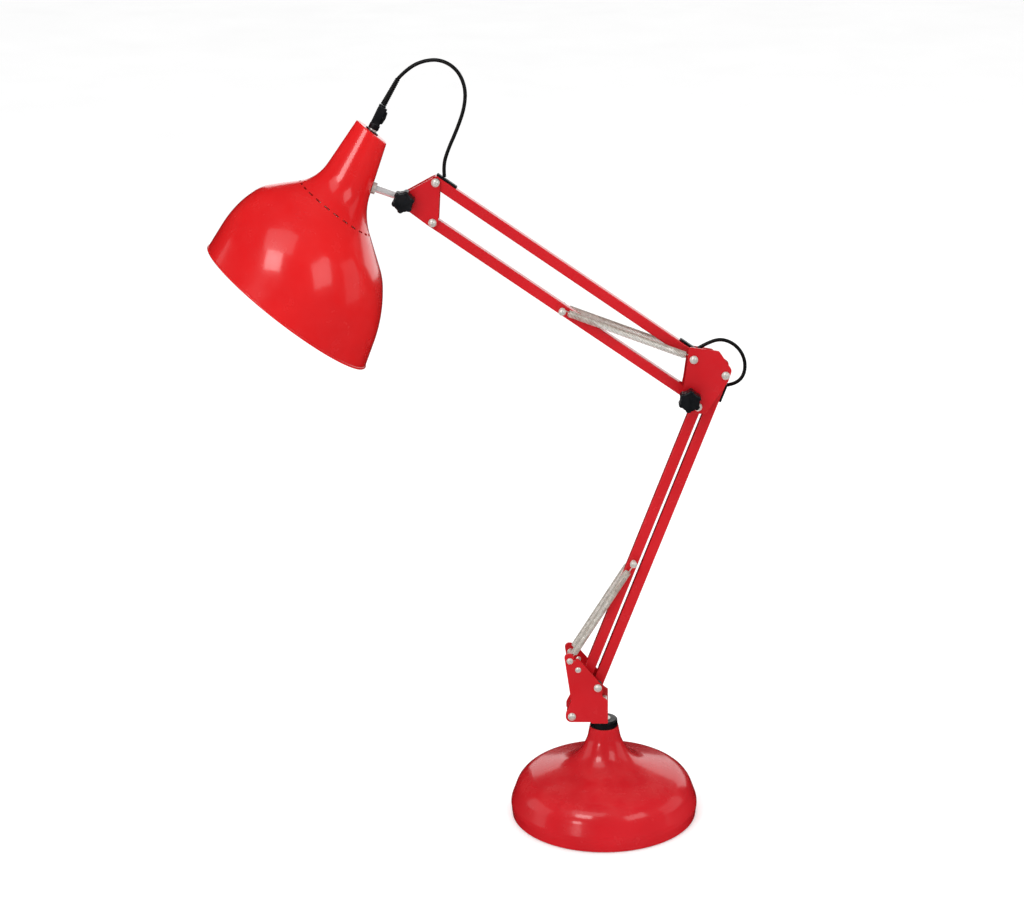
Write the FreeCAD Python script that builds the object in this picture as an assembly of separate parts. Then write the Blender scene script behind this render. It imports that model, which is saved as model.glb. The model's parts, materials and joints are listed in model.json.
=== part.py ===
import FreeCAD, Part
import math
import os

from FreeCAD import Rotation, Vector

# Red architect desk lamp: a weighted round base, a two-stage arm made of two
# parallelogram linkages with balance springs, and a bell shade on a short rod.
# Millimetres. Origin: centre of the base on the table. +Z up, the arms work in
# the XZ plane, and the shade reaches out towards -X.

os.makedirs("parts", exist_ok=True)

# ---------------------------------------------------------------- driving sizes
BASE_EDGE_Z = 0.8          # lower edge of the base shell
SHELL = 1.4                # wall of the spun steel base
NECK_TOP_Z = 93.0          # where the base neck ends
COLLAR_TOP_Z = 100.3

TUBE = 10.0                # square arm tubes, outside
TUBE_WALL = 1.1
TUBE_END = 5.3             # radius of the rounded tube ends
BOLT_R = 2.5               # pivot bolts
RUN = 0.05                 # radial running clearance on pivots
SIDE_GAP = 0.3             # between a moving tube and the sleeves beside it
HEAD_R = 3.9               # bolt heads

CHEEK_IN = 13.3            # inner face of the base and elbow plates, from y = 0
CHEEK_OUT = 14.8
HEAD_IN = 6.0              # the same for the plates at the head
HEAD_OUT = 7.5
SPRING_Y = 9.2             # springs run either side of the tubes
SPRING_R = 3.6

LOWER_LENGTH = 338.6       # between pivots of the lower arm
LOWER_ANGLE = 69.3         # from +X, as stored
UPPER_LENGTH = 289.4
UPPER_ANGLE = 145.2

BASE_LEFT = Vector(-31.5, 0, 108.4)
BAR_STEP = Vector(25.5, 0, 30.5)       # left to right pivot, at base and elbow
TOP_STEP = Vector(-4.4, 0, 45.9)       # elbow left pivot to the top tube's pivot
LOW_STEP = Vector(-3.7, 0, -37.3)      # top tube's pivot to the low tube's pivot
HORN = Vector(-33.2, 0, 167.0)         # where the lower springs hook on
TILT = Vector(-183.0, 0, 620.0)        # clamp bolt that the shade's rod goes through
ROD_FAR = Vector(-215.5, 0, 631.5)     # where the rod meets the shade's neck
ROD_R = 3.1

SHADE_TOP = Vector(-211.6, 0, 681.5)   # centre of the shade's flat neck top
SHADE_LEAN = 39.1                      # square to the rim and the neck top, from the vertical
SHADE_SKEW = 12.2                      # the bell's centre line is this much more upright
SHADE_TURN = 6.7                       # swivel about the rod, as stored
SHADE_WALL = 1.0
SHADE_DEPTH = 175.9
RIM_R = 90.3
VENTS = 24

CORD_R = 1.7
# The flex's loops over the head and the elbow, as corner points of straight runs.
HEAD_LOOP = [
    (-179.0, 10.8, 736.6), (-165.0, 9.4, 744.4), (-147.8, 7.4, 746.2), (-132.8, 5.4, 737.6),
    (-125.4, 3.8, 721.5), (-126.5, 2.6, 703.5), (-133.8, 1.4, 683.5), (-142.6, 0.6, 664.5),
    (-146.9, 0.2, 650.5), (-146.0, 0.0, 640.2),
]
ELBOW_LOOP = [
    (88.2, 0.0, 478.2), (97.0, 0.0, 483.6), (110.0, 0.0, 487.6), (123.5, 0.0, 481.8),
    (132.2, 0.0, 469.0), (132.6, 0.0, 453.8), (125.2, 0.0, 444.0), (116.0, 0.0, 442.4),
]


def along(angle):
    return Vector(math.cos(math.radians(angle)), 0, math.sin(math.radians(angle)))


LOWER = along(LOWER_ANGLE)
UPPER = along(UPPER_ANGLE)
BASE_RIGHT = BASE_LEFT + BAR_STEP
ELBOW_LEFT = BASE_LEFT + LOWER * LOWER_LENGTH
ELBOW_RIGHT = BASE_RIGHT + LOWER * LOWER_LENGTH
ELBOW_TOP = ELBOW_LEFT + TOP_STEP
ELBOW_LOW = ELBOW_TOP + LOW_STEP
HEAD_TOP = ELBOW_TOP + UPPER * UPPER_LENGTH
HEAD_LOW = ELBOW_LOW + UPPER * UPPER_LENGTH
LOWER_MID = BASE_LEFT + LOWER * (LOWER_LENGTH / 2)
UPPER_MID = ELBOW_LOW + UPPER * (UPPER_LENGTH / 2)
ROD = (ROD_FAR - TILT).normalize()
Y = Vector(0, 1, 0)
Z = Vector(0, 0, 1)


# ------------------------------------------------------------------ small tools
def save(name, *solids):
    shape = solids[0] if len(solids) == 1 else Part.makeCompound(list(solids))
    shape.exportStep("parts/" + name + ".step")


def at(x, z, y=0.0):
    return Vector(x, y, z)


def rounded(points, closed):
    """Straight runs joined by tangent arcs. Each point is (position, corner radius)."""
    count = len(points)
    edges = []
    last = None
    first = None
    for i in range(count):
        corner, radius = points[i]
        if radius and (closed or 0 < i < count - 1):
            back = (points[i - 1][0] - corner).normalize()
            ahead = (points[(i + 1) % count][0] - corner).normalize()
            half = math.acos(max(-1.0, min(1.0, back.dot(ahead)))) / 2
            start = corner + back * (radius / math.tan(half))
            if last is not None and (last - start).dot(back) < -1e-6:
                raise ValueError("rounded corners overlap at " + str(corner))
            end = corner + ahead * (radius / math.tan(half))
            inward = (back + ahead).normalize()
            middle = corner + inward * (radius / math.sin(half) - radius)
        else:
            start = end = corner
            middle = None
        if last is not None and last.distanceToPoint(start) > 1e-6:
            edges.append(Part.LineSegment(last, start).toShape())
        if middle is not None:
            edges.append(Part.Arc(start, middle, end).toShape())
        last = end
        first = start if first is None else first
    if closed and last.distanceToPoint(first) > 1e-6:
        edges.append(Part.LineSegment(last, first).toShape())
    return edges


def inset(points, depth):
    """The same run of (position, radius) points, moved to its left by depth."""
    moved = []
    runs = [(points[i + 1][0] - points[i][0]).normalize() for i in range(len(points) - 1)]
    for i, (corner, radius) in enumerate(points):
        before = runs[max(i - 1, 0)]
        after = runs[min(i, len(runs) - 1)]
        left_a = Vector(-before.z, 0, before.x)
        left_b = Vector(-after.z, 0, after.x)
        shift = (left_a + left_b) * (depth / (1 + left_a.dot(left_b)))
        turn = before.x * after.z - before.z * after.x
        moved.append((corner + shift, max(0.2, radius - math.copysign(depth, turn)) if radius else 0))
    return moved


def revolved(edges):
    return Part.Face(Part.Wire(edges)).revolve(Vector(0, 0, 0), Z, 360)


def turned(*profile):
    """A solid of revolution about Z from (radius, height) or (radius, height, corner)."""
    points = [(at(p[0], p[1]), p[2] if len(p) > 2 else 0) for p in profile]
    return revolved(rounded(points, True))


def short_arcs(edges, bulge):
    """The same edges, with arcs divided until each stands off its chord by bulge at most."""
    divided = []
    for edge in edges:
        if not isinstance(edge.Curve, Part.Circle):
            divided.append(edge)
            continue
        first, last = edge.ParameterRange
        stand_off = edge.Curve.Radius * (last - first) ** 2 / 8
        count = max(1, math.ceil(math.sqrt(stand_off / bulge)))
        step = (last - first) / count
        for k in range(count):
            arc = Part.ArcOfCircle(edge.Curve, first + step * k, first + step * (k + 1))
            divided.append(arc.toShape())
    return divided


def skin(points, wall, bulge=10.0):
    """A thin revolved wall: the outline as given, and the same outline wall further in."""
    outer = short_arcs(rounded(points, False), bulge)
    inner = short_arcs(rounded(inset(points, wall), False), bulge)
    rim = Part.LineSegment(points[0][0], inset(points, wall)[0][0]).toShape()
    top = Part.LineSegment(points[-1][0], inset(points, wall)[-1][0]).toShape()
    return revolved(Part.__sortEdges__(outer + inner + [rim, top]))


def plate(outline, y_low, y_high):
    """A flat plate from (x, z, corner radius) points, between two y values."""
    points = [(at(x, z, y_low), r) for x, z, r in outline]
    return Part.Face(Part.Wire(rounded(points, True))).extrude(Y * (y_high - y_low))


def rod(start, end, radius):
    return Part.makeCylinder(radius, start.distanceToPoint(end), start, end - start)


def pin(place, radius, y_low, y_high):
    """A cylinder along Y."""
    return rod(Vector(place.x, y_low, place.z), Vector(place.x, y_high, place.z), radius)


def tube_y(place, outer, inner, y_low, y_high):
    return pin(place, outer, y_low, y_high).cut(pin(place, inner, y_low - 1, y_high + 1))


def dome(place, radius, height, y_face, side):
    """A domed bolt head that stands out of the face at y_face, towards side."""
    ball_r = (radius * radius + height * height) / (2 * height)
    ball = Part.makeSphere(ball_r, Vector(place.x, y_face + side * (height - ball_r), place.z))
    tall = sorted((y_face, y_face + side * (height + 1)))
    return ball.common(pin(place, radius, *tall))


def nut(place, width, y_low, y_high):
    """A hexagon nut along Y."""
    reach = width / math.sqrt(3)
    corners = [(place.x + reach * math.cos(k * math.pi / 3), place.z + reach * math.sin(k * math.pi / 3), 0)
               for k in range(6)]
    return plate(corners, y_low, y_high)


def bolt(place, y_out, shank=BOLT_R):
    """A dome-headed bolt through a pair of plates, without its nut."""
    body = pin(place, shank, -y_out - 0.01, y_out + 4.6)
    flange = pin(place, HEAD_R, -y_out - 1.0, -y_out)
    return body.fuse([flange, dome(place, HEAD_R, 2.2, -y_out - 1.0, -1)]).removeSplitter()


def fasteners(places, y_out):
    """A bolt and its nut, as separate solids, for each pivot of a pair of plates."""
    bolts = [bolt(place, y_out) for place in places]
    nuts = [nut(place, 7.6, y_out, y_out + 3.6).cut(pin(place, BOLT_R, 0, y_out + 9)) for place in places]
    return bolts + nuts


def sleeves(place, y_in):
    """The two spacer sleeves between a pair of plates and the tube on a pivot."""
    low = TUBE / 2 + SIDE_GAP
    return [tube_y(place, 4.0, BOLT_R, low, y_in), tube_y(place, 4.0, BOLT_R, -y_in, -low)]


def oriented_box(start, direction, length, height, depth):
    """A box that runs from start along direction, centred across it and across Y."""
    shape = Part.makeBox(length, depth, height, Vector(0, -depth / 2, -height / 2))
    angle = -math.degrees(math.atan2(direction.z, direction.x))
    shape.rotate(Vector(0, 0, 0), Y, angle)
    shape.translate(start)
    return shape


def arm_tube(start, end, slots=()):
    """A square tube with rounded ends and a pivot hole at each end."""
    run = (end - start).normalize()
    length = start.distanceToPoint(end)
    outer = oriented_box(start - run * TUBE_END, run, length + 2 * TUBE_END, TUBE, TUBE)
    outer = outer.makeFillet(1.1, [e for e in outer.Edges if e.Length > length])
    bore = TUBE - 2 * TUBE_WALL
    inner = oriented_box(start - run * 20, run, length + 40, bore, bore)
    ends = [pin(p, TUBE_END, -TUBE, TUBE) for p in (start, end)]
    envelope = oriented_box(start, run, length, 2 * TUBE_END, 2 * TUBE).fuse(ends)
    solid = outer.common(envelope).cut(inner)
    for place in (start, end):
        solid = solid.cut(pin(place, BOLT_R + RUN, -TUBE, TUBE))
    for slot in slots:
        solid = solid.cut(slot)
    return solid.removeSplitter()


# ------------------------------------------------------------------------- base
BASE_OUTLINE = [
    (at(91.6, BASE_EDGE_Z), 0),
    (at(93.0, 13.0), 14),
    (at(83.8, 39.0), 25),
    (at(27.0, 56.6), 40),
    (at(16.6, 80.0), 25),
    (at(14.2, NECK_TOP_Z), 0),
]
GLAND_Z = 12.0
PAD = 1.8                  # felt under the base
CLIP_Z = 54.3              # lower face of the spring clip that holds the post down
CLIP = 1.2


def make_base():
    shell = skin(BASE_OUTLINE, SHELL)
    shell = shell.cut(pin(at(0, GLAND_Z), 3.6, 60, 110))
    save("base_shell", shell)
    weight = turned((8.0, 3.0), (84.0, 3.0, 2), (84.0, 20.0, 6), (74.0, 30.0, 6),
                    (14.0, 44.0, 6), (12.0, 56.0), (8.0, 56.0))
    groove = Part.makeBox(9, 90, 9, Vector(-4.5, 4, 7.5))
    spokes = [math.radians(30 + 120 * k) for k in range(3)]
    screws = [at(58 * math.cos(a), 0, 58 * math.sin(a)) for a in spokes]
    weight = weight.cut(groove)
    cover = Part.makeCylinder(90.0, 1.2, Vector(0, 0, PAD))
    pad = Part.makeCylinder(89.0, PAD)
    bodies = []
    for place in screws:
        shank = Part.makeCylinder(2.0, 12.0, Vector(place.x, place.y, PAD))
        weight = weight.cut(shank)
        cover = cover.cut(shank)
        pad = pad.cut(Part.makeCylinder(4.1, PAD, Vector(place.x, place.y, 0)))
        head = Part.makeCylinder(3.8, 1.3, Vector(place.x, place.y, 0.5))
        cross = Part.makeBox(4.4, 0.9, 0.8, Vector(place.x - 2.2, place.y - 0.45, 0.3))
        other = Part.makeBox(0.9, 4.4, 0.8, Vector(place.x - 0.45, place.y - 2.2, 0.3))
        bodies.append(shank.fuse(head).cut(cross).cut(other).removeSplitter())
    save("base_weight", weight)
    save("base_cover", cover)
    save("base_pad", pad)
    save("base_screws", *bodies)
    save("neck_bush", turned((6.35, 56.0), (12.3, 56.0), (12.3, NECK_TOP_Z), (6.35, NECK_TOP_Z)))
    collar = turned((6.35, NECK_TOP_Z), (13.5, NECK_TOP_Z, 0.6),
                    (13.2, COLLAR_TOP_Z, 1.6), (6.35, COLLAR_TOP_Z))
    save("neck_collar", collar)
    centre = at(0, GLAND_Z)
    gland = pin(centre, 3.5, 88.5, 94.6).fuse([pin(centre, 5.2, 93.1, 94.6), pin(centre, 5.2, 87.4, 89.4)])
    save("cable_gland", gland.cut(pin(centre, CORD_R + 0.2, 80, 100)).removeSplitter())


# ------------------------------------------------------- base bracket and swivel
CHEEK_OUTLINE = [
    (-39.2, 174.9, 4.2), (-29.6, 174.9, 4.2), (-29.2, 163.0, 0.9), (-26.6, 171.2, 1.4),
    (-1.0, 140.0, 5.5), (-2.0, 130.0, 3.0), (3.9, 125.6, 1.2), (3.9, 100.9, 1.2),
    (-12.0, 100.9, 1.5), (-13.0, 102.4, 1.5), (-37.7, 102.4, 5.9), (-37.5, 112.0, 7.0), (-31.9, 123.0, 9.0),
]


def make_turret():
    holes = [pin(p, BOLT_R, -20, 20) for p in (BASE_LEFT, BASE_RIGHT)]
    holes.append(pin(HORN, 2.0, -20, 20))
    rivet_at = at(-25.2, 157.7)
    holes.append(pin(rivet_at, 1.5, -20, 20))
    for name, side in (("base_cheek_front", -1), ("base_cheek_rear", 1)):
        low, high = sorted((side * CHEEK_IN, side * CHEEK_OUT))
        cheek = plate(CHEEK_OUTLINE, low, high)
        for hole in holes:
            cheek = cheek.cut(hole)
        save(name, cheek)
    block_outline = [(-12.0, 100.9, 1), (3.2, 100.9, 1), (3.2, 120.0, 2), (-12.0, 114.0, 3)]
    block = plate(block_outline, -CHEEK_IN, CHEEK_IN)
    post = block.fuse(Part.makeCylinder(6.3, 55.0, Vector(0, 0, 46.0)))
    post = post.cut(Part.makeCylinder(2.6, 90, Vector(0, 0, 40)))
    low = CLIP_Z - RUN
    high = CLIP_Z + CLIP + RUN
    groove = turned((5.2, low), (8.0, low), (8.0, high), (5.2, high))
    save("swivel_post", post.cut(groove).removeSplitter())
    save("post_clip", turned((5.25, CLIP_Z), (7.6, CLIP_Z), (7.6, CLIP_Z + CLIP), (5.25, CLIP_Z + CLIP)))
    save("base_fasteners", *fasteners((BASE_LEFT, BASE_RIGHT), CHEEK_OUT))
    save("base_sleeves", *(sleeves(BASE_LEFT, CHEEK_IN) + sleeves(BASE_RIGHT, CHEEK_IN)))
    studs = []
    rivets = []
    for side in (-1, 1):
        low, high = sorted((side * 6.4, side * (CHEEK_OUT + 0.01)))
        head = dome(HORN, 3.2, 1.6, side * CHEEK_OUT, side)
        studs.append(pin(HORN, 2.0, low, high).fuse(head).removeSplitter())
        low, high = sorted((side * (CHEEK_IN - 0.01), side * (CHEEK_OUT + 0.01)))
        shank = pin(rivet_at, 1.5, low, high)
        rivets.append(shank.fuse([dome(rivet_at, 2.9, 1.3, side * CHEEK_OUT, side),
                                  dome(rivet_at, 2.6, 0.9, side * CHEEK_IN, -side)]).removeSplitter())
    save("spring_studs", *studs)
    save("cheek_rivets", *rivets)


# ---------------------------------------------------------------------- the arms
def cable_entry(pivot, run, outward, low, high):
    """A moulded strip on the outer face of a tube, over the slot that the flex goes through."""
    face = TUBE / 2
    thick = 2.3
    start = pivot + run * low + outward * (face + thick / 2)
    strip = oriented_box(start, run, high - low, thick, 6.4)
    strip = strip.makeFillet(0.9, strip.Edges)
    slot = oriented_box(pivot + run * (low + 4) + outward * (face - 1), run, high - low - 8, 4.0, 4.0)
    return strip, slot


def inner_flex(start, end):
    return rod(start, end, CORD_R)


def spring_body(name, hook, far, near_gap, far_gap):
    """The coiled stretch of a pair of balance springs, one each side of the tubes."""
    run = (far - hook).normalize()
    for tag, side in (("front", -1), ("rear", 1)):
        shift = Y * (side * SPRING_Y)
        save(name + "_" + tag, rod(hook + run * near_gap + shift, far - run * far_gap + shift, SPRING_R))


def spring_bolt(place):
    """The cross bolt that holds the far ends of a pair of springs to a tube."""
    shank = pin(place, 2.0, -13.6, 13.6)
    heads = [pin(place, 3.4, 12.6, 13.6), pin(place, 3.4, -13.6, -12.6),
             dome(place, 3.4, 2.0, 13.6, 1), dome(place, 3.4, 2.0, -13.6, -1)]
    return shank.fuse(heads).removeSplitter()


def make_lower_arm():
    right = Vector(LOWER.z, 0, -LOWER.x)
    strip, slot = cable_entry(ELBOW_RIGHT, LOWER * -1, right, 11.0, 29.0)
    save("lower_left_bar", arm_tube(BASE_LEFT, ELBOW_LEFT, [pin(LOWER_MID, 2.0, -20, 20)]))
    save("lower_right_bar", arm_tube(BASE_RIGHT, ELBOW_RIGHT, [slot]))
    hole = rod(Vector(*ELBOW_LOOP[-2]), Vector(*ELBOW_LOOP[-1]), CORD_R + RUN)
    save("lower_cable_entry", strip.cut(hole))
    save("lower_inner_flex", inner_flex(BASE_RIGHT + LOWER * 9, ELBOW_RIGHT - LOWER * 13))
    save("lower_spring_bolt", spring_bolt(LOWER_MID))
    spring_body("lower_spring", HORN, LOWER_MID, 6.0, 9.0)


def make_upper_arm():
    up = Vector(-UPPER.z, 0, UPPER.x) * -1
    head_strip, head_slot = cable_entry(HEAD_TOP, UPPER * -1, up, -3.0, 19.0)
    elbow_strip, elbow_slot = cable_entry(ELBOW_TOP, UPPER, up, 0.0, 19.5)
    save("upper_top_bar", arm_tube(ELBOW_TOP, HEAD_TOP, [head_slot, elbow_slot]))
    save("upper_low_bar", arm_tube(ELBOW_LOW, HEAD_LOW, [pin(UPPER_MID, 2.0, -20, 20)]))
    hole = rod(Vector(*HEAD_LOOP[-2]), Vector(*HEAD_LOOP[-1]), CORD_R + RUN)
    save("head_cable_entry", head_strip.cut(hole))
    save("elbow_cable_entry", elbow_strip)
    save("upper_inner_flex", inner_flex(ELBOW_TOP + UPPER * 9, HEAD_TOP - UPPER * 9))
    save("upper_spring_bolt", spring_bolt(UPPER_MID))
    spring_body("upper_spring", ELBOW_TOP, UPPER_MID, 7.0, 5.0)


# ------------------------------------------------------------------------- elbow
ELBOW_OUTLINE = [
    (78.9, 483.2, 2.5), (107.2, 479.2, 3.0), (119.6, 460.8, 5.0), (116.2, 449.9, 5.0),
    (95.2, 418.4, 6.0), (83.4, 418.6, 6.0), (72.0, 433.0, 7.0), (75.0, 447.0, 8.0), (78.0, 470.0, 4.0),
]
# The rear plate is cut lower across its top.
ELBOW_REAR_OUTLINE = [(78.2, 478.0, 2.5), (102.0, 474.0, 3.0), (118.5, 460.5, 5.0)] + ELBOW_OUTLINE[3:]


def star_knob(place, y_low, y_high, lobes, reach, turn):
    """A moulded clamp knob with rounded lobes, along Y."""
    core = pin(place, reach * 0.84, y_low, y_high)
    parts = []
    for k in range(lobes):
        a = math.radians(turn + 360.0 / lobes * k)
        centre = Vector(place.x + reach * 0.73 * math.cos(a), 0, place.z + reach * 0.73 * math.sin(a))
        parts.append(pin(centre, reach * 0.27, y_low, y_high))
    knob = core.fuse(parts).removeSplitter()
    face = [e for e in knob.Edges if abs(e.CenterOfMass.y - y_low) < 1e-3]
    return knob.makeFillet(1.6, face)


def make_elbow():
    pivots = (ELBOW_LEFT, ELBOW_RIGHT, ELBOW_TOP)
    sides = (("elbow_plate_front", -1, ELBOW_OUTLINE), ("elbow_plate_rear", 1, ELBOW_REAR_OUTLINE))
    for name, side, outline in sides:
        low, high = sorted((side * CHEEK_IN, side * CHEEK_OUT))
        sheet = plate(outline, low, high)
        for place in pivots:
            sheet = sheet.cut(pin(place, BOLT_R, -20, 20))
        sheet = sheet.cut(pin(ELBOW_LOW, BOLT_R, -20, 20))
        save(name, sheet)
    save("elbow_fasteners", *fasteners(pivots, CHEEK_OUT))
    rings = []
    for place in (ELBOW_LEFT, ELBOW_RIGHT, ELBOW_TOP, ELBOW_LOW):
        rings += sleeves(place, CHEEK_IN)
    save("elbow_sleeves", *rings)
    clamp = pin(ELBOW_LOW, BOLT_R, -26.0, CHEEK_OUT + 0.01)
    clamp_head = dome(ELBOW_LOW, 4.2, 2.0, CHEEK_OUT + 1.2, 1)
    clamp = clamp.fuse([pin(ELBOW_LOW, 4.2, CHEEK_OUT, CHEEK_OUT + 1.2), clamp_head])
    save("elbow_clamp_bolt", clamp.removeSplitter())
    boss = pin(ELBOW_LOW, 6.8, -18.7, -CHEEK_OUT - SIDE_GAP)
    knob = star_knob(ELBOW_LOW, -29.0, -18.6, 6, 11.0, 22.0).fuse(boss).removeSplitter()
    save("elbow_knob", knob.cut(pin(ELBOW_LOW, BOLT_R + RUN, -26.3, 0)))


# --------------------------------------------------------------------------- head
HEAD_OUTLINE = [(-193.5, 620.5, 7.0), (-149.2, 644.6, 5.5), (-152.8, 589.8, 5.5)]


def make_head():
    pivots = (HEAD_TOP, HEAD_LOW)
    for name, side in (("head_plate_front", -1), ("head_plate_rear", 1)):
        low, high = sorted((side * HEAD_IN, side * HEAD_OUT))
        sheet = plate(HEAD_OUTLINE, low, high)
        for place in pivots:
            sheet = sheet.cut(pin(place, BOLT_R, -20, 20))
        save(name, sheet.cut(pin(TILT, 3.05, -20, 20)))
    save("head_fasteners", *fasteners(pivots, HEAD_OUT))
    rings = []
    for place in pivots:
        rings += sleeves(place, HEAD_IN)
    save("head_washers", *rings)


def make_tilt_clamp():
    barrel = pin(TILT, 5.6, -HEAD_IN + 0.3, HEAD_IN - 0.3)
    shank = pin(TILT, 3.0, -17.0, HEAD_OUT + 0.9)
    head = [pin(TILT, 4.6, HEAD_OUT + 0.3, HEAD_OUT + 1.6), dome(TILT, 4.6, 2.2, HEAD_OUT + 1.6, 1)]
    eye = barrel.fuse([shank] + head).cut(rod(TILT - ROD * 12, TILT + ROD * 12, ROD_R + RUN))
    save("tilt_bolt", eye.removeSplitter())
    knob = star_knob(TILT, -19.5, -HEAD_OUT - 0.3, 6, 10.6, 10.0)
    save("head_knob", knob.cut(pin(TILT, 3.05, -17.3, 0)))


# -------------------------------------------------------------------------- shade
SHADE_OUTLINE = [
    (at(RIM_R, -SHADE_DEPTH), 0),
    (at(85.2, -129.7), 110),
    (at(69.4, -101.2), 46),
    (at(26.6, -64.6), 48),
    (at(17.0, 0), 1.6),
    (at(3.0, 0), 0),
]
NIPPLE_R = 4.2
ARC_BULGE = 0.2
BEAD = 1.1
BEAD_AT = RIM_R - 0.4


def hang(shape):
    """From the shade's own frame (square to its rim, neck top at the origin) to its place."""
    placed = shape.copy()
    placed.rotate(Vector(0, 0, 0), Y, SHADE_LEAN)
    placed.translate(SHADE_TOP)
    placed.rotate(TILT, ROD, SHADE_TURN)
    return placed


def hang_on_neck(shape):
    """The same for what follows the bell's centre line: the lampholder, bulb and switch."""
    tipped = shape.copy()
    tipped.rotate(Vector(0, 0, 0), Y, -SHADE_SKEW)
    return hang(tipped)


def make_shade_shell():
    shell = skin(SHADE_OUTLINE, SHADE_WALL, ARC_BULGE)
    turns = [math.radians(30 * k) for k in range(13)]
    section = [at(BEAD_AT + BEAD * math.cos(a), 0.2 - SHADE_DEPTH + BEAD * math.sin(a)) for a in turns]
    bead = Part.Face(Part.makePolygon(section)).revolve(Vector(0, 0, 0), Z, 360)
    shell = shell.fuse(bead)
    for k in range(VENTS):
        slot = Part.makeBox(24, 6.0, 1.3, Vector(30, -3.0, -76.6))
        slot.rotate(Vector(0, 0, 0), Z, 360.0 / VENTS * (k + 0.5))
        shell = shell.cut(slot)
    skew = FreeCAD.Matrix()
    skew.A13 = -math.tan(math.radians(SHADE_SKEW))
    shell = hang(shell.transformGeometry(skew))
    shell = shell.cut(hang_on_neck(Part.makeCylinder(NIPPLE_R, 6.0, Vector(0, 0, -3))))
    save("shade_shell", shell.cut(rod(TILT, ROD_FAR + ROD * 12, ROD_R)))


def hex_on_rod(distance, length, width):
    reach = width / math.sqrt(3)
    turns = [k * math.pi / 3 for k in range(7)]
    ring = [Vector(reach * math.cos(a), reach * math.sin(a), 0) for a in turns]
    shape = Part.Face(Part.makePolygon(ring)).extrude(Z * length)
    shape.Placement = FreeCAD.Placement(TILT + ROD * distance, Rotation(Z, ROD))
    return shape


def make_rod():
    reach = TILT.distanceToPoint(ROD_FAR)
    save("shade_rod", rod(TILT - ROD * 8.5, TILT + ROD * (reach + 2.5), ROD_R))
    outer = hex_on_rod(reach - 6.8, 3.35, 9.6).cut(rod(TILT, TILT + ROD * 60, ROD_R))
    inner = hex_on_rod(reach - 1.7, 3.0, 9.6).cut(rod(TILT, TILT + ROD * 60, ROD_R))
    save("rod_nuts", outer, inner)


def make_lamp_fittings():
    tube = turned((2.3, -26.0), (NIPPLE_R, -26.0), (NIPPLE_R, 5.4), (2.3, 5.4))
    save("nipple", hang_on_neck(tube))
    save("top_washer", hang(turned((4.8, 0.0), (6.6, 0.0), (6.6, 1.0), (4.8, 1.0))))
    holder = turned((4.25, -24.5), (14.0, -24.5, 2), (14.8, -38.0), (16.1, -48.0, 1), (16.1, -66.0, 1),
                    (13.9, -66.0), (13.9, -42.0), (13.0, -38.0), (4.25, -38.0))
    save("lampholder", hang_on_neck(holder))
    cap = turned((4.0, -40.0), (11.0, -40.0, 1), (13.2, -44.0, 1), (13.2, -66.0),
                 (12.0, -68.5), (4.0, -68.5))
    save("bulb_cap", hang_on_neck(cap))
    glass = [(at(0.0, -146.0), 0), (at(27.5, -146.0), 27.4), (at(27.5, -93.0), 27), (at(12.6, -68.5), 0)]
    bulb = skin(glass, 0.8)
    save("bulb_glass", hang_on_neck(bulb))


KEY_PIVOT = at(3.4, 15.5)


def make_switch():
    housing = Part.makeBox(8.4, 8.6, 17.0, Vector(-4.4, -4.3, 7.0))
    rounded_edges = [e for e in housing.Edges if abs(e.CenterOfMass.x + 4.4) < 0.01 or e.Length > 16]
    housing = housing.makeFillet(1.2, rounded_edges)
    stem = Part.makeCylinder(4.9, 4.8, Vector(0, 0, 2.4))
    collar = Part.makeCylinder(3.3, 2.0, Vector(-1.2, 0, 23.8))
    pocket = Part.makeBox(5.0, 6.0, 15.4, Vector(1.6, -3.0, 7.8))
    bore = Part.makeCylinder(1.8, 20.0, Vector(-1.2, 0, 19.0))
    body = housing.fuse([stem, collar])
    for hollow in (pocket, bore, pin(KEY_PIVOT, 0.8, -3.9, 3.9), Part.makeCylinder(NIPPLE_R, 5.4)):
        body = body.cut(hollow)
    save("switch_body", hang_on_neck(body.removeSplitter()))
    key_outline = [(2.5, 9.0, 0.6), (5.6, 9.6, 1.2), (6.3, 15.5, 6), (5.6, 21.4, 1.2), (2.5, 22.0, 0.6)]
    key = plate(key_outline, -2.6, 2.6)
    save("switch_key", hang_on_neck(key.fuse(pin(KEY_PIVOT, 0.75, -3.6, 3.6)).removeSplitter()))


def sleeve_path():
    lean = math.radians(4.0)
    start = Vector(-1.2, 0, 26.2)
    return start, start + Vector(math.sin(lean), 0, math.cos(lean)) * 27.1


def make_sleeve():
    start, end = sleeve_path()
    cone = Part.makeCone(3.1, 2.4, start.distanceToPoint(end), start, end - start)
    spare = (end - start) * 0.1
    bore = rod(start - spare, end + spare, CORD_R + RUN)
    save("cord_sleeve", hang_on_neck(cone.cut(bore)))


# --------------------------------------------------------------------------- flex
def flex(name, points):
    """A flex of straight runs and arcs, each arc as large as its two runs allow."""
    corners = [Vector(*p) for p in points]
    route = [(corners[0], 0)]
    for i in range(1, len(corners) - 1):
        back = corners[i - 1] - corners[i]
        ahead = corners[i + 1] - corners[i]
        half_turn = (math.pi - back.getAngle(ahead)) / 2
        radius = 0.45 * min(back.Length, ahead.Length) / math.tan(half_turn)
        route.append((corners[i], radius))
    route.append((corners[-1], 0))
    wire = Part.Wire(rounded(route, False))
    circle = Part.Circle(corners[0], corners[1] - corners[0], CORD_R).toShape()
    tube = wire.makePipeShell([Part.Wire(circle)], True, True)
    save(name, tube)


def middle(a, b):
    return tuple((u + v) / 2 for u, v in zip(a, b))


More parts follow.
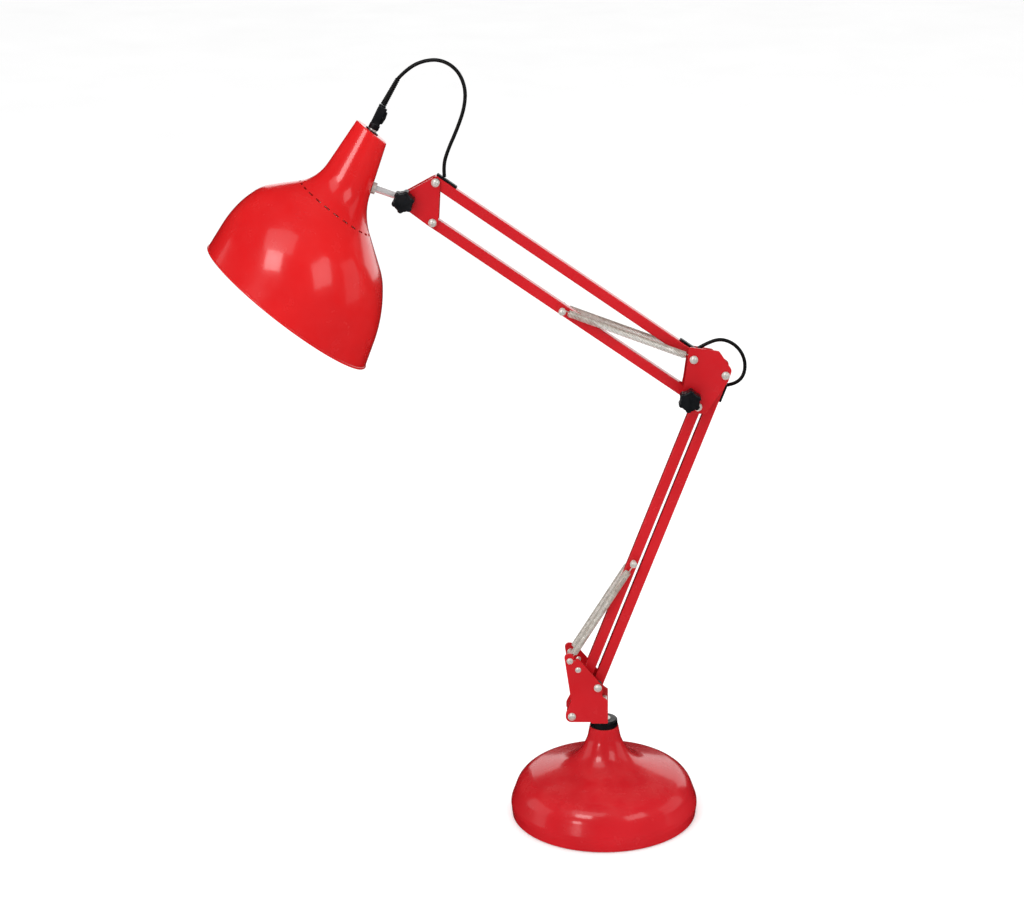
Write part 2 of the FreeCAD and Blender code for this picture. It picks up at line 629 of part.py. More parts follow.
def make_flex():
    start = hang_on_neck(Part.Vertex(sleeve_path()[1])).Point
    loop = [tuple(start)] + HEAD_LOOP
    first_cut = middle(loop[5], loop[6])
    second_cut = middle(loop[7], loop[8])
    flex("head_flex_shade", loop[:6] + [first_cut])
    flex("head_flex_tilt", [first_cut] + loop[6:8] + [second_cut])
    flex("head_flex_arm", [second_cut] + loop[8:])
    cut = middle(ELBOW_LOOP[3], ELBOW_LOOP[4])
    flex("elbow_flex_upper", ELBOW_LOOP[:4] + [cut])
    flex("elbow_flex_lower", [cut] + ELBOW_LOOP[4:])


make_base()
make_turret()
make_lower_arm()
make_upper_arm()
make_elbow()
make_head()
make_tilt_clamp()
make_shade_shell()
make_rod()
make_lamp_fittings()
make_switch()
make_sleeve()
make_flex()
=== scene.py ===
import json
import math

import bmesh
import bpy
from mathutils import Matrix, Vector


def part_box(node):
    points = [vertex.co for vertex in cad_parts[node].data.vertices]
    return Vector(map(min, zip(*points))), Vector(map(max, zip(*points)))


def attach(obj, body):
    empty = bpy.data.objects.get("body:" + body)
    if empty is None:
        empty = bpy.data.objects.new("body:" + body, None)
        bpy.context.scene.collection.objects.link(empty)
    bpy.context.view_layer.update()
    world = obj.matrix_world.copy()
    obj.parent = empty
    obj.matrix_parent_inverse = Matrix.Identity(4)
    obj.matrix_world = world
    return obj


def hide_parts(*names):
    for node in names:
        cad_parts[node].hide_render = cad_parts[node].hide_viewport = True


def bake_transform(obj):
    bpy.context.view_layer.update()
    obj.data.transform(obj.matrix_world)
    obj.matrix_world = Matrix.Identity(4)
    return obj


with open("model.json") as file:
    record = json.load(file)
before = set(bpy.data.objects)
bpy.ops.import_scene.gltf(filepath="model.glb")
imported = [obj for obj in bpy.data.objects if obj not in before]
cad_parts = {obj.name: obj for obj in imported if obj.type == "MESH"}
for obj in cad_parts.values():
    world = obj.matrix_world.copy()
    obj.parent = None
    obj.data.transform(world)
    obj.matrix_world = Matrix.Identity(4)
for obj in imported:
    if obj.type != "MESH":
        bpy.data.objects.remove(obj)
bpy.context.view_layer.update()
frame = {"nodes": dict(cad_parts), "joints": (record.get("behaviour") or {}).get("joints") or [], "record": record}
nodes = frame["nodes"]
joints = {j["name"]: j for j in frame["joints"]}
scene = bpy.context.scene


def joint_at(name):
    return Vector(joints[name]["pos_m"])


# ------------------------------------------------------------------------ camera
CAMERA_PLACE = (0.0, -1.990, 1.006)
CAMERA_DOWN = math.radians(17.5)
LENS_MM = 77.1328
SENSOR_MM = 36.0
LENS_SHIFT = (-0.0898438, -0.0052734)

camera_data = bpy.data.cameras.new("camera")
camera_data.sensor_width = SENSOR_MM
camera_data.lens = LENS_MM
camera_data.shift_x, camera_data.shift_y = LENS_SHIFT
camera_data.clip_end = 50.0
camera = bpy.data.objects.new("camera", camera_data)
camera.location = CAMERA_PLACE
camera.rotation_euler = (math.pi / 2 - CAMERA_DOWN, 0.0, 0.0)
scene.collection.objects.link(camera)
scene.camera = camera


# --------------------------------------------------------------------- mesh tools
def link_mesh(name, mesh):
    obj = bpy.data.objects.new(name, mesh)
    scene.collection.objects.link(obj)
    return obj


def spline_points(points, resolution=14):
    """Points along the smooth line whose control points these are."""
    curve = bpy.data.curves.new("route", "CURVE")
    curve.dimensions = "3D"
    spline = curve.splines.new("NURBS")
    spline.points.add(len(points) - 1)
    for knot, place in zip(spline.points, points):
        knot.co = (*place, 1.0)
    spline.order_u = 3
    spline.use_endpoint_u = True
    spline.resolution_u = resolution
    holder = bpy.data.objects.new("route", curve)
    scene.collection.objects.link(holder)
    mesh = bpy.data.meshes.new_from_object(holder)
    line = [v.co.copy() for v in mesh.vertices]
    bpy.data.objects.remove(holder)
    bpy.data.curves.remove(curve)
    bpy.data.meshes.remove(mesh)
    return line


def sweep(name, line, radii, sides):
    """A closed tube round a line of points. radii is one number or one for each point."""
    if not hasattr(radii, "__len__"):
        radii = [radii] * len(line)
    bm = bmesh.new()
    tangent = (line[1] - line[0]).normalized()
    normal = tangent.orthogonal().normalized()
    rings = []
    for i, place in enumerate(line):
        ahead = line[min(i + 1, len(line) - 1)] - line[max(i - 1, 0)]
        new_tangent = ahead.normalized()
        normal = (tangent.rotation_difference(new_tangent) @ normal).normalized()
        tangent = new_tangent
        side = tangent.cross(normal)
        ring = []
        for k in range(sides):
            angle = 2 * math.pi * k / sides
            out = normal * math.cos(angle) + side * math.sin(angle)
            ring.append(bm.verts.new(place + out * radii[i]))
        rings.append(ring)
    for low, high in zip(rings, rings[1:]):
        for k in range(sides):
            bm.faces.new((low[k], low[(k + 1) % sides], high[(k + 1) % sides], high[k]))
    bm.faces.new(list(reversed(rings[0])))
    bm.faces.new(rings[-1])
    bmesh.ops.recalc_face_normals(bm, faces=bm.faces)
    mesh = bpy.data.meshes.new(name)
    bm.to_mesh(mesh)
    bm.free()
    for polygon in mesh.polygons:
        polygon.use_smooth = len(polygon.vertices) == 4
    return link_mesh(name, mesh)


def ends_of(node):
    """Centres of the two ends of a long round CAD node, lowest first."""
    points = [v.co for v in nodes[node].data.vertices]
    run = (max(points, key=lambda p: p.z) - min(points, key=lambda p: p.z)).normalized()
    for _ in range(6):
        reach = [p.dot(run) for p in points]
        halfway = (min(reach) + max(reach)) / 2
        low = [p for p, r in zip(points, reach) if r < halfway]
        high = [p for p, r in zip(points, reach) if r >= halfway]
        start = sum(low, Vector()) / len(low)
        end = sum(high, Vector()) / len(high)
        run = (end - start).normalized()
    start = start + run * (min(reach) - start.dot(run))
    end = end + run * (max(reach) - end.dot(run))
    return start, end


def middle_of(node):
    low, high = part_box(node)
    return (low + high) / 2


# -------------------------------------------------------------------------- cords
FLEX_RADIUS = 0.0017
sleeve_low, sleeve_high = ends_of("cord_sleeve")
HEAD_LOOP = [
    (-0.1790, 0.0108, 0.7366), (-0.1650, 0.0094, 0.7444), (-0.1478, 0.0074, 0.7462),
    (-0.1328, 0.0054, 0.7376), (-0.1254, 0.0038, 0.7215), (-0.1265, 0.0026, 0.7035),
    (-0.1338, 0.0014, 0.6835), (-0.1426, 0.0006, 0.6645), (-0.1469, 0.0002, 0.6505),
    (-0.1460, 0.0000, 0.6402),
]
ELBOW_LOOP = [
    (0.0882, 0.0, 0.4782), (0.0970, 0.0, 0.4836), (0.1100, 0.0, 0.4876), (0.1235, 0.0, 0.4818),
    (0.1322, 0.0, 0.4690), (0.1326, 0.0, 0.4538), (0.1252, 0.0, 0.4440), (0.1160, 0.0, 0.4424),
]
head_points = [sleeve_high] + [Vector(p) for p in HEAD_LOOP]
elbow_points = [Vector(p) for p in ELBOW_LOOP]
head_cut_a = (head_points[5] + head_points[6]) / 2
head_cut_b = (head_points[7] + head_points[8]) / 2
elbow_cut = (elbow_points[3] + elbow_points[4]) / 2


def flex(name, points):
    """A length of flex along these points that stands in for its CAD node."""
    line = spline_points(points)
    piece = sweep(name + "_cord", line, FLEX_RADIUS, sides=14)
    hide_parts(name)
    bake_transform(piece)
    return piece


flexes = [
    flex("head_flex_shade", head_points[:6] + [head_cut_a]),
    flex("head_flex_tilt", [head_cut_a] + head_points[6:8] + [head_cut_b]),
    flex("head_flex_arm", [head_cut_b] + head_points[8:]),
    flex("elbow_flex_upper", elbow_points[:4] + [elbow_cut]),
    flex("elbow_flex_lower", [elbow_cut] + elbow_points[4:]),
]


# -------------------------------------------------------------------- cord sleeve
SLEEVE_RADIUS = 0.00300
SLEEVE_TAPER = 0.00072
SLEEVE_RIBS = 15
RIB_DEPTH = 0.00042


def make_sleeve():
    """A ribbed strain relief that narrows towards the flex."""
    run = sleeve_high - sleeve_low
    steps = SLEEVE_RIBS * 8
    line = [sleeve_low + run * (i / steps) for i in range(steps + 1)]
    radii = []
    for i in range(steps + 1):
        t = i / steps
        groove = 0.5 + 0.5 * math.cos(2 * math.pi * t * SLEEVE_RIBS)
        radii.append(SLEEVE_RADIUS - SLEEVE_TAPER * t - RIB_DEPTH * groove)
    piece = sweep("cord_sleeve_ribbed", line, radii, sides=28)
    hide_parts("cord_sleeve")
    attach(piece, "shade")
    return piece


sleeve = make_sleeve()

# ------------------------------------------------------------------------ springs
WIRE_RADIUS = 0.00052
COIL_RADIUS = 0.0030
COIL_INSET = 0.0008
SHANK = 0.0012
SHANK_OFFSET = COIL_RADIUS * 0.35
STEPS_PER_TURN = 18
CLOSING_STEPS = 14
END_COIL = 0.4
PIN_LOOP = 0.0026
PIVOT_LOOP = 0.0046
LOWER_TURNS = 78
UPPER_TURNS = 88


def spring(name, node, hook, hook_ring, far, far_ring, turns):
    """A tension spring: a loop round the near pin, the coil, and a loop round the far pin."""
    start, end = ends_of(node)
    if (start - hook).length > (end - hook).length:
        start, end = end, start
    side = start.y
    hook = Vector((hook.x, side, hook.z))
    far = Vector((far.x, side, far.z))
    run = (end - start).normalized()
    across = Vector((0, 1, 0)).cross(run).normalized()
    depth = Vector((0, 1, 0))
    line = []

    def eye(centre, ring, outward):
        """Points of an open loop round a pin."""
        points = []
        for k in range(22):
            angle = math.radians(-150 + 300 * k / 21)
            points.append(centre + outward * (ring * math.cos(angle)) + across * (ring * math.sin(angle)))
        return points

    line += eye(hook, hook_ring, -run)
    coil_start = start + run * COIL_INSET
    coil_end = end - run * COIL_INSET
    line.append(start - run * SHANK + across * SHANK_OFFSET)
    steps = turns * STEPS_PER_TURN
    for i in range(steps + 1):
        t = i / steps
        opening = min(1.0, i / CLOSING_STEPS, (steps - i) / CLOSING_STEPS)
        grow = END_COIL + (1.0 - END_COIL) * opening
        angle = 2 * math.pi * turns * t
        spin = across * math.cos(angle) + depth * math.sin(angle)
        line.append(coil_start.lerp(coil_end, t) + spin * (COIL_RADIUS * grow))
    line.append(end + run * SHANK + across * SHANK_OFFSET)
    line += reversed(eye(far, far_ring, run))
    piece = sweep(name, line, WIRE_RADIUS, sides=8)
    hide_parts(node)
    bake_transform(piece)
    return piece


horn = middle_of("spring_studs")
lower_mid = middle_of("lower_spring_bolt")
upper_mid = middle_of("upper_spring_bolt")
springs = []
for tag in ("front", "rear"):
    springs.append(spring("lower_coil_" + tag, "lower_spring_" + tag, horn, PIN_LOOP, lower_mid, PIN_LOOP,
                          LOWER_TURNS))
    springs.append(spring("upper_coil_" + tag, "upper_spring_" + tag, joint_at("upper_arm"), PIVOT_LOOP,
                          upper_mid, PIN_LOOP, UPPER_TURNS))


# -------------------------------------------------------------------------- shade
SHADE_TOP = Vector((-0.2116, 0.0, 0.6815))
SHADE_LEAN = math.radians(39.1)
SHADE_SKEW = math.radians(12.2)
SHADE_TURN = math.radians(6.7)
SHADE_WALL = 0.0010
NIPPLE_HOLE = 0.0044
# Radius and height of each corner of the bell, and how far it is rounded.
SHADE_OUTLINE = [
    (0.0903, -0.1759, 0.0), (0.0852, -0.1297, 0.110), (0.0694, -0.1012, 0.046),
    (0.0266, -0.0646, 0.048), (0.0170, 0.0, 0.0016), (NIPPLE_HOLE, 0.0, 0.0),
]
BEAD = 0.0011
BEAD_SIDES = 12
BEAD_OFFSET = (-0.0004, 0.0002)
SMOOTH_TURN = math.radians(2.5)
LONGEST_RUN = 0.005
VENTS = 24
VENT_COLUMNS = 4
COLUMNS_PER_VENT = 7
VENT_HEIGHTS = (-0.0766, -0.0753)


def rounded_line(corners, turn_step, run_step):
    """Points along an outline whose corners are rounded to their own radii."""
    line = [Vector(corners[0][:2])]
    for before, corner, after in zip(corners, corners[1:], corners[2:]):
        place = Vector(corner[:2])
        back = (Vector(before[:2]) - place).normalized()
        ahead = (Vector(after[:2]) - place).normalized()
        half = back.angle(ahead) / 2
        centre = place + (back + ahead).normalized() * (corner[2] / math.sin(half))
        ray = place + back * (corner[2] / math.tan(half)) - centre
        bend = math.pi - 2 * half
        steps = max(4, math.ceil(bend / turn_step))
        side = 1 if back.x * ahead.y < back.y * ahead.x else -1
        for k in range(steps + 1):
            angle = side * bend * k / steps
            turned = (ray.x * math.cos(angle) - ray.y * math.sin(angle),
                      ray.x * math.sin(angle) + ray.y * math.cos(angle))
            line.append(centre + Vector(turned))
    line.append(Vector(corners[-1][:2]))
    fine = [line[0]]
    for start, end in zip(line, line[1:]):
        count = max(1, math.ceil((end - start).length / run_step))
        fine += [start.lerp(end, k / count) for k in range(1, count + 1)]
    return fine


def with_vent_rows(line):
    """The same line with one row as high as the vents, and the index of that row."""
    low, high = VENT_HEIGHTS
    below = [p for p in line if p.y < low]
    above = [p for p in line if p.y > high]
    edges = [below[-1].lerp(above[0], (height - below[-1].y) / (above[0].y - below[-1].y))
             for height in VENT_HEIGHTS]
    return below + edges + above, len(below)


def shade_place():
    """From the bell's own frame, square to its rim with the neck's top at the origin."""
    skew = Matrix.Identity(4)
    skew[0][2] = -math.tan(SHADE_SKEW)
    swivel = joint_at("shade_swivel")
    turn = Matrix.Rotation(SHADE_TURN, 4, Vector(joints["shade_swivel"]["axis"]))
    about_rod = Matrix.Translation(swivel) @ turn @ Matrix.Translation(-swivel)
    return about_rod @ Matrix.Translation(SHADE_TOP) @ Matrix.Rotation(SHADE_LEAN, 4, "Y") @ skew


def make_shade():
    """The bell: an outer and an inner skin with slots between them, and a rolled rim."""
    outer, vent_row = with_vent_rows(rounded_line(SHADE_OUTLINE, SMOOTH_TURN, LONGEST_RUN))
    inner = []
    for i, point in enumerate(outer):
        ahead = (outer[min(i + 1, len(outer) - 1)] - outer[max(i - 1, 0)]).normalized()
        inner.append(point + Vector((-ahead.y, ahead.x)) * SHADE_WALL)
    columns = VENTS * COLUMNS_PER_VENT
    place = shade_place()
    bm = bmesh.new()

    def ring(point):
        """A round of vertices, placed so that each vent starts on a column."""
        made = []
        for k in range(columns):
            angle = 2 * math.pi * (0.5 / VENTS + (k - VENT_COLUMNS / 2) / columns)
            spun = Vector((point.x * math.cos(angle), point.x * math.sin(angle), point.y))
            made.append(bm.verts.new(place @ spun))
        return made

    def patch(corners, material):
        face = bm.faces.new(corners)
        face.material_index = material
        face.smooth = True

    outside = [ring(p) for p in outer]
    inside = [ring(p) for p in inner]
    for row in range(len(outer) - 1):
        for k in range(columns):
            n = (k + 1) % columns
            is_vent = row == vent_row and k % COLUMNS_PER_VENT < VENT_COLUMNS
            if is_vent:
                patch((outside[row][k], inside[row][k], inside[row][n], outside[row][n]), 0)
                patch((outside[row + 1][k], outside[row + 1][n], inside[row + 1][n], inside[row + 1][k]), 0)
                if k % COLUMNS_PER_VENT == 0:
                    patch((outside[row][k], outside[row + 1][k], inside[row + 1][k], inside[row][k]), 0)
                if k % COLUMNS_PER_VENT == VENT_COLUMNS - 1:
                    patch((outside[row][n], inside[row][n], inside[row + 1][n], outside[row + 1][n]), 0)
            else:
                patch((outside[row][k], outside[row][n], outside[row + 1][n], outside[row + 1][k]), 0)
                patch((inside[row][k], inside[row + 1][k], inside[row + 1][n], inside[row][n]), 1)
    for k in range(columns):
        n = (k + 1) % columns
        patch((outside[0][k], inside[0][k], inside[0][n], outside[0][n]), 0)
        patch((outside[-1][k], outside[-1][n], inside[-1][n], inside[-1][k]), 0)

    bead_middle = Vector(SHADE_OUTLINE[0][:2]) + Vector(BEAD_OFFSET)
    bead = []
    for k in range(BEAD_SIDES):
        angle = 2 * math.pi * k / BEAD_SIDES
        bead.append(ring(bead_middle + Vector((math.cos(angle), math.sin(angle))) * BEAD))
    for i in range(BEAD_SIDES):
        for k in range(columns):
            n = (k + 1) % columns
            m = (i + 1) % BEAD_SIDES
            patch((bead[i][k], bead[i][n], bead[m][n], bead[m][k]), 0)

    bmesh.ops.recalc_face_normals(bm, faces=bm.faces)
    mesh = bpy.data.meshes.new("shade_enamelled")
    bm.to_mesh(mesh)
    bm.free()
    mesh.set_sharp_from_angle(angle=math.radians(35.0))
    shell = link_mesh("shade_enamelled", mesh)
    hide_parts("shade_shell")
    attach(shell, "shade")
    return shell


shade = make_shade()


# ---------------------------------------------------------------------- materials
def grey(value):
    return (value, value, value, 1)


class Material:
    """A node tree with short calls for the few nodes that the lamp's materials share."""

    def __init__(self, name, **sockets):
        self.material = bpy.data.materials.new(name)
        self.material.use_nodes = True
        self.tree = self.material.node_tree
        self.shader = self.tree.nodes["Principled BSDF"]
        for socket, value in sockets.items():
            self.shader.inputs[socket.replace("_", " ")].default_value = value
        self.coords = self.tree.nodes.new("ShaderNodeTexCoord").outputs["Object"]

    def node(self, kind, **values):
        made = self.tree.nodes.new("ShaderNode" + kind)
        for key, value in values.items():
            setattr(made, key, value)
        return made

    def join(self, output, target):
        self.tree.links.new(output, target)

    def stretched(self, scale):
        mapping = self.node("Mapping")
        mapping.inputs["Scale"].default_value = scale
        self.join(self.coords, mapping.inputs["Vector"])
        return mapping.outputs["Vector"]

    def noise(self, scale, detail=4.0, rough=0.55, stretch=None):
        made = self.node("TexNoise")
        made.inputs["Scale"].default_value = scale
        made.inputs["Detail"].default_value = detail
        made.inputs["Roughness"].default_value = rough
        self.join(self.stretched(stretch) if stretch else self.coords, made.inputs["Vector"])
        return made.outputs["Fac"]

    def ramp(self, source, low, high, start=(0, 0, 0, 1), end=(1, 1, 1, 1)):
        made = self.node("ValToRGB")
        made.color_ramp.elements[0].position = low
        made.color_ramp.elements[1].position = high
        made.color_ramp.elements[0].color = start
        made.color_ramp.elements[1].color = end
        self.join(source, made.inputs["Fac"])
        return made.outputs["Color"]

    def math(self, operation, a, b):
        made = self.node("Math", operation=operation)
        for socket, value in zip(made.inputs, (a, b)):
            if isinstance(value, (int, float)):
                socket.default_value = value
            else:
                self.join(value, socket)
        return made.outputs[0]

    def mix(self, factor, a, b):
        made = self.node("Mix", data_type="RGBA")
        for socket, value in ((made.inputs[0], factor), (made.inputs[6], a), (made.inputs[7], b)):
            if isinstance(value, (int, float, tuple)):
                socket.default_value = value
            else:
                self.join(value, socket)
        return made.outputs[2]

    def bump(self, height, strength, distance, after=None):
        made = self.node("Bump")
        made.inputs["Strength"].default_value = strength
        made.inputs["Distance"].default_value = distance
        self.join(height, made.inputs["Height"])
        if after is not None:
            self.join(after, made.inputs["Normal"])
        return made.outputs["Normal"]

    def edges(self, radius, low, high):
        """Bright along outside edges: where a rounded normal leaves the true one."""
        soft = self.node("Bevel", samples=4)
        soft.inputs["Radius"].default_value = radius
        flat = self.node("NewGeometry").outputs["Normal"]
        dot = self.node("VectorMath", operation="DOT_PRODUCT")
        self.join(soft.outputs["Normal"], dot.inputs[0])
        self.join(flat, dot.inputs[1])
        return self.ramp(dot.outputs["Value"], low, high, (1, 1, 1, 1), (0, 0, 0, 1))

    def colour(self, output):
        self.join(output, self.shader.inputs["Base Color"])

    def roughness(self, output):
        self.join(output, self.shader.inputs["Roughness"])

    def normal(self, output):
        self.join(output, self.shader.inputs["Normal"])


def paint(name, deep, bright, pale_tone, pale_amount, worn_tone=(0.80, 0.16, 0.12, 1)):
    """Glossy enamel: slow drifts of tone, fine orange peel, a paler tone towards upward faces with fine pale
    specks, and worn edges.
    """
    m = Material(name, IOR=1.45, Specular_IOR_Level=0.3, Coat_Weight=0.5, Coat_Roughness=0.10,
                 Coat_IOR=1.5)
    drift = m.ramp(m.noise(9.0, 3.0), 0.35, 0.68)
    body = m.mix(drift, deep, bright)
    specks = m.ramp(m.noise(2600.0, 2.0), 0.66, 0.80)
    cloud = m.ramp(m.noise(38.0, 6.0, 0.65), 0.42, 0.72)
    # Paler towards upward-facing surfaces, broken up by a cloud, plus fine pale specks everywhere; the same mask
    # also roughens the enamel.
    upward = m.node("SeparateXYZ")
    m.join(m.node("NewGeometry").outputs["Normal"], upward.inputs[0])
    upward_faces = m.ramp(upward.outputs["Z"], 0.35, 0.95)
    pale_top_and_specks = m.math("MULTIPLY", m.math("MULTIPLY", upward_faces, cloud), pale_amount)
    pale_top_and_specks = m.math("ADD", pale_top_and_specks, m.math("MULTIPLY", specks, pale_amount * 0.25))
    body = m.mix(pale_top_and_specks, body, pale_tone)
    worn = m.math("MULTIPLY", m.edges(0.0005, 0.86, 0.985), m.ramp(m.noise(420.0, 5.0), 0.42, 0.60))
    body = m.mix(m.math("MULTIPLY", worn, 0.45), body, worn_tone)
    m.colour(body)
    gloss = m.ramp(m.noise(60.0, 5.0, 0.6), 0.3, 0.75, grey(0.20), grey(0.30))
    m.roughness(m.math("ADD", gloss, m.math("MULTIPLY", pale_top_and_specks, 0.35)))
    peel = m.bump(m.noise(650.0, 2.0, 0.4), 0.10, 0.0002)
    m.normal(m.bump(m.noise(2400.0, 1.0, 0.4), 0.05, 0.0001, peel))
    return m.material


def moulded(name, dark, light, rough, grain=1800.0):
    """Moulded plastic or dull enamel: fine grain, handling sheen and pale scuffs on its edges."""
    m = Material(name, IOR=1.48, Specular_IOR_Level=0.35)
    tone = m.mix(m.ramp(m.noise(70.0, 4.0), 0.35, 0.7), dark, light)
    scuff = m.math("MULTIPLY", m.edges(0.0006, 0.80, 0.98), m.ramp(m.noise(500.0, 4.0), 0.40, 0.62))
    m.colour(m.mix(m.math("MULTIPLY", scuff, 0.35), tone, grey(0.22)))
    m.roughness(m.ramp(m.noise(160.0, 5.0), 0.3, 0.7, grey(rough - 0.08), grey(rough + 0.10)))
    m.normal(m.bump(m.noise(grain, 3.0, 0.6), 0.16, 0.0002))
    return m.material


def metal(name, dark, light, rough, stretch, scale=300.0, bump=0.08, metallic=1.0):
    """Bare metal: fine drawn or turned marks, tarnish in the tone and uneven polish."""
    m = Material(name, Metallic=metallic)
    tarnish = m.ramp(m.noise(220.0, 5.0, 0.6), 0.32, 0.72)
    m.colour(m.mix(tarnish, dark, light))
    m.roughness(m.ramp(m.noise(500.0, 4.0), 0.3, 0.7, grey(rough - 0.07), grey(rough + 0.09)))
    m.normal(m.bump(m.noise(scale, 4.0, 0.6, stretch), bump, 0.0002))
    return m.material


def glass():
    m = Material("bulb_glass_frosted", IOR=1.48, Transmission_Weight=0.85)
    tone = m.ramp(m.noise(30.0, 3.0), 0.3, 0.7)
    m.colour(m.mix(tone, (0.93, 0.92, 0.88, 1), (0.98, 0.98, 0.96, 1)))
    m.roughness(m.ramp(m.noise(80.0, 4.0), 0.3, 0.7, grey(0.28), grey(0.42)))
    m.normal(m.bump(m.noise(900.0, 3.0), 0.05, 0.0001))
    return m.material


def felt():
    m = Material("base_felt_fibres", Sheen_Weight=0.5, Sheen_Roughness=0.6)
    tone = m.ramp(m.noise(700.0, 6.0, 0.7), 0.35, 0.7)
    m.colour(m.mix(tone, (0.012, 0.012, 0.013, 1), (0.045, 0.045, 0.048, 1)))
    m.roughness(m.ramp(m.noise(900.0, 4.0), 0.3, 0.7, grey(0.85), grey(0.98)))
    m.normal(m.bump(m.noise(1500.0, 6.0, 0.7), 0.6, 0.0006))
    return m.material


def flex_skin():
    """Black flex: a soft satin skin with a fine grain."""
    m = Material("flex_skin", IOR=1.48, Specular_IOR_Level=0.3)
    tone = m.ramp(m.noise(900.0, 4.0), 0.35, 0.7)
    m.colour(m.mix(tone, (0.0015, 0.0015, 0.0018, 1), (0.006, 0.006, 0.0065, 1)))
    m.roughness(m.ramp(m.noise(300.0, 4.0), 0.3, 0.7, grey(0.36), grey(0.52)))
    m.normal(m.bump(m.noise(2600.0, 3.0, 0.6), 0.22, 0.0002))
    return m.material


EVEN = (1.0, 1.0, 1.0)
# Metals only partly metallic: their pale base colour, lit as diffuse, is a painted reflection standing in for the
# surroundings that glossy rays don't see.
PARTLY_METALLIC_PAINTED_REFLECTION = 0.45
finishes = {
    "red_paint": paint("red_enamel", (0.52, 0.007, 0.012, 1), (0.62, 0.011, 0.018, 1),
                       (0.70, 0.15, 0.13, 1), 0.12),
    "shade_paint": paint("shade_enamel", (0.64, 0.007, 0.009, 1), (0.74, 0.011, 0.012, 1),
                         (0.78, 0.15, 0.12, 1), 0.06),
    "black_collar": moulded("collar_plastic", (0.003, 0.003, 0.004, 1), (0.009, 0.009, 0.010, 1),
                            0.24, 1200.0),
    "black_plastic": moulded("knob_plastic", (0.003, 0.0035, 0.005, 1), (0.010, 0.011, 0.014, 1), 0.34),
    "sleeve_nylon": moulded("sleeve_nylon_grey", grey(0.05), grey(0.10), 0.50, 900.0),
    "zinc": metal("zinc_plate", (0.66, 0.62, 0.56, 1), (0.92, 0.89, 0.84, 1), 0.30,
                  (1.0, 6.0, 1.0), metallic=PARTLY_METALLIC_PAINTED_REFLECTION),
    "spring_steel": metal("spring_wire", (0.60, 0.55, 0.48, 1), (0.88, 0.84, 0.77, 1), 0.30,
                          EVEN, 900.0, metallic=PARTLY_METALLIC_PAINTED_REFLECTION),
    "rod_chrome": metal("rod_chromed", grey(0.84), grey(0.95), 0.14,
                        EVEN, 500.0, 0.02, metallic=PARTLY_METALLIC_PAINTED_REFLECTION),
    "bulb_cap": metal("cap_aluminium", (0.58, 0.57, 0.55, 1), (0.78, 0.77, 0.75, 1), 0.32,
                      (1.0, 1.0, 4.0)),
    "cast_weight": metal("weight_iron", (0.05, 0.05, 0.05, 1), (0.12, 0.11, 0.11, 1), 0.62,
                         EVEN, 400.0, 0.5),
    "cover_steel": moulded("cover_enamel", (0.010, 0.010, 0.011, 1), (0.024, 0.024, 0.025, 1),
                           0.38, 700.0),
    "base_felt": felt(),
    "flex_black": flex_skin(),
    "bulb_glass": glass(),
}
slot_of = {part["node"]: part["material_slot"] for part in frame["record"]["subparts"]}


def wear(obj, material):
    if obj.data.materials:
        for index in range(len(obj.data.materials)):
            obj.material_slots[index].link = "OBJECT"
            obj.material_slots[index].material = material
    else:
        obj.data.materials.append(material)


for name, node in nodes.items():
    wear(node, finishes[slot_of[name]])
shade.data.materials.append(finishes["shade_paint"])
# The inside of the bell is the outer red enamel at about half the brightness: painted shade, so the vents read
# dark.
shade.data.materials.append(paint("shade_inside_painted_shade", (0.34, 0.005, 0.007, 1), (0.42, 0.008, 0.010, 1),
                                  (0.50, 0.12, 0.10, 1), 0.10))
for piece in flexes + [sleeve]:
    wear(piece, finishes["flex_black"])
for piece in springs:
    wear(piece, finishes["spring_steel"])


# --------------------------------------------------------------- floor and lights
def make_floor():
    mesh = bpy.data.meshes.new("floor")
    half = 14.0
    corners = [(-half, -half, 0), (half, -half, 0), (half, half, 0), (-half, half, 0)]
    mesh.from_pydata(corners, [], [(0, 1, 2, 3)])
    floor = link_mesh("floor", mesh)
    m = Material("floor_pale")
    m.colour(m.mix(m.ramp(m.noise(2.0, 3.0), 0.3, 0.7), grey(0.93), grey(0.96)))
    m.roughness(m.ramp(m.noise(6.0, 3.0), 0.3, 0.7, grey(0.75), grey(0.85)))
    m.shader.inputs["Emission Color"].default_value = (1.0, 1.0, 1.0, 1)
    m.shader.inputs["Emission Strength"].default_value = 0.20
    wear(floor, m.material)
    floor.visible_glossy = False


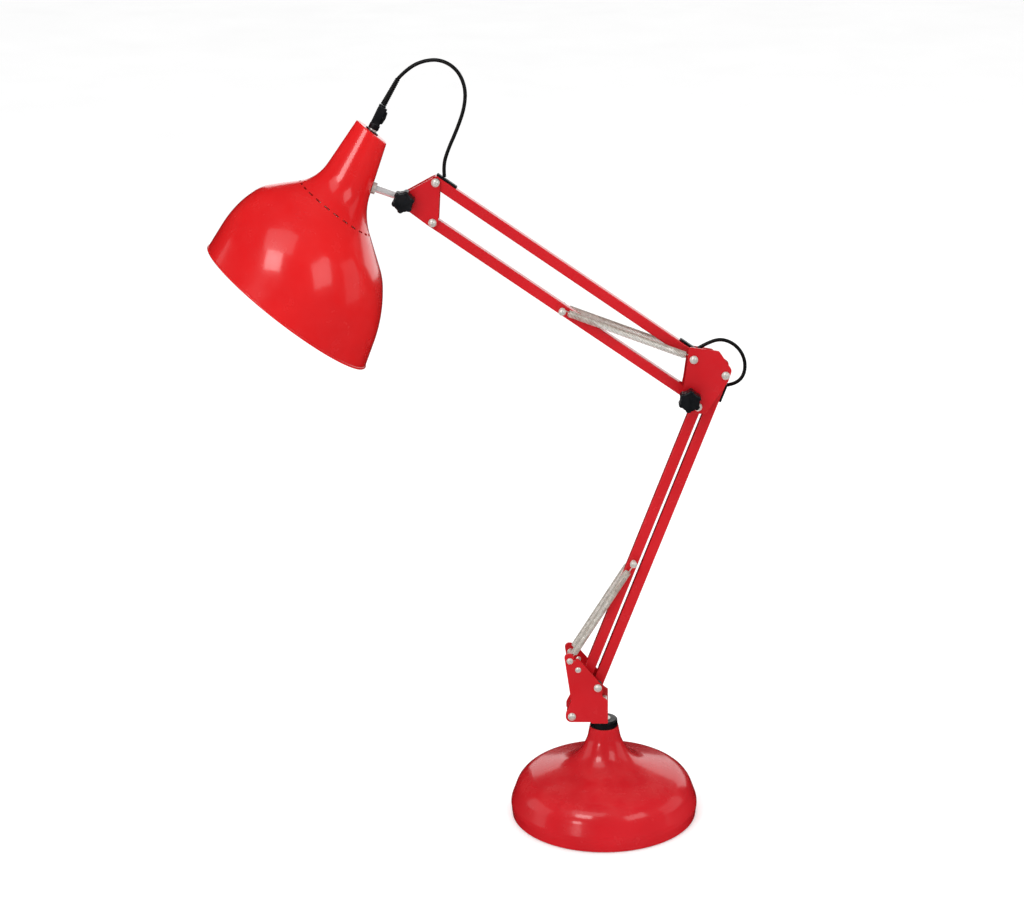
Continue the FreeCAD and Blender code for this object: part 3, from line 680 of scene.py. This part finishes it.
def soft_light(name, place, target, width, height, power):
    data = bpy.data.lights.new(name, "AREA")
    data.shape = "RECTANGLE"
    data.size = width
    data.size_y = height
    data.energy = power
    light = bpy.data.objects.new(name, data)
    light.location = place
    light.rotation_euler = (Vector(target) - Vector(place)).to_track_quat("-Z", "Y").to_euler()
    scene.collection.objects.link(light)
    return light


make_floor()
SHADE_AIM = Vector((-0.27, -0.06, 0.60))
BASE_AIM = Vector((0.0, -0.04, 0.05))


def glossy_panel(name, aim, bearing, height_angle, wide, high, brightness, distance=2.0):
    """A soft panel seen only in the enamel and the chrome, at this bearing from its aim."""
    turn = math.radians(bearing)
    rise = math.radians(height_angle)
    out = Vector((math.cos(turn) * math.cos(rise), math.sin(turn) * math.cos(rise), math.sin(rise)))
    power = math.pi * wide * high * brightness
    panel = soft_light(name, aim + out * distance, aim, wide, high, power)
    panel.visible_diffuse = False
    panel.visible_camera = False


glossy_panel("panel_left", SHADE_AIM, -114.0, 36.0, 0.80, 0.60, 7.5)
glossy_panel("panel_left_top", SHADE_AIM, -110.0, 55.0, 1.50, 0.75, 1.5)
glossy_panel("panel_right", SHADE_AIM, -39.0, 19.0, 0.90, 0.76, 2.4)
glossy_panel("panel_low", BASE_AIM, -124.0, 15.0, 0.36, 0.36, 8.0)
glossy_panel("card_back", Vector((0.1, 0.0, 0.5)), 80.0, 8.0, 2.9, 1.1, 1.3, 2.3)
glossy_panel("card_side_left", Vector((-0.1, 0.0, 0.4)), 178.0, 8.0, 1.6, 1.4, 0.8, 2.3)
glossy_panel("card_side_right", Vector((0.1, 0.0, 0.4)), 8.0, 10.0, 1.6, 1.4, 0.6, 2.3)
soft_light("key", (-1.2, -1.5, 1.9), (-0.1, 0.0, 0.4), 1.2, 1.2, 10.0).visible_glossy = False
soft_light("fill_overhead", (0.0, -0.4, 3.0), (0.0, 0.0, 0.0), 3.0, 3.0, 22.0).visible_glossy = False

world = bpy.data.worlds.new("studio")
world.use_nodes = True
world.node_tree.nodes["Background"].inputs["Color"].default_value = (1.0, 1.0, 1.0, 1)
world.node_tree.nodes["Background"].inputs["Strength"].default_value = 0.90
world.cycles_visibility.glossy = False
scene.world = world
scene.view_settings.view_transform = "Standard"
